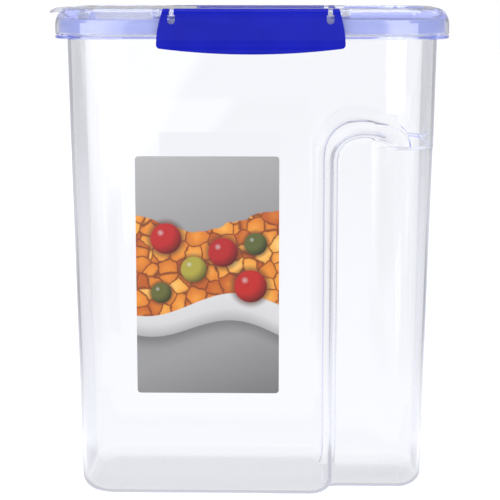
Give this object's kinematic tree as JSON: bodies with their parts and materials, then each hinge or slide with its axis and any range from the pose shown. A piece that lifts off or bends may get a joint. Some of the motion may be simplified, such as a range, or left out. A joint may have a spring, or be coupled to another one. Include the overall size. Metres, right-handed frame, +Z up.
{
  "type": "cereal container with flip spout",
  "caption": "Tall clear cereal container with hand recesses, a gasketed lid held by two wide side clips, and a flip cap over its pour opening.",
  "frame": {"origin": "middle of the flat base that the container stands on", "axes": "+Z up, +X along the length away from the pour opening and towards the hand recess, -Y towards the label side"},
  "size_m": [0.2329, 0.1258, 0.288],
  "materials": {
    "clear_body": "clear polypropylene, glossy",
    "clear_lid": "clear polypropylene, glossy",
    "seal": "pale blue soft elastomer, satin",
    "blue_clip": "opaque royal blue, satin gloss",
    "label_film": "printed film, grey ground"
  },
  "bodies": {
    "container": {"container": "clear_body", "label": "label_film"},
    "lid": {"lid": "clear_lid", "lid_seal": "seal"},
    "front_clip": {"front_clip": "blue_clip"},
    "rear_clip": {"rear_clip": "blue_clip"},
    "flip_cap": {"flip_cap": "clear_lid", "flip_cap_seal": "seal"}
  },
  "joints": [
    {"name": "lid_lift", "type": "slide", "parent": "container", "child": "lid", "axis": [0, 0, 1], "range_m": [0, 0.06]},
    {"name": "front_clip_hinge", "type": "hinge", "parent": "lid", "child": "front_clip", "pos_m": [0, -0.0537, 0.2855], "axis": [-1, 0, 0], "range_deg": [-3.5, 110]},
    {"name": "rear_clip_hinge", "type": "hinge", "parent": "lid", "child": "rear_clip", "pos_m": [0, 0.0537, 0.2855], "axis": [1, 0, 0], "range_deg": [-3.5, 110]},
    {"name": "flip_cap_hinge", "type": "hinge", "parent": "lid", "child": "flip_cap", "pos_m": [-0.036, 0, 0.2859], "axis": [0, 1, 0], "range_deg": [0, 110]}
  ]
}
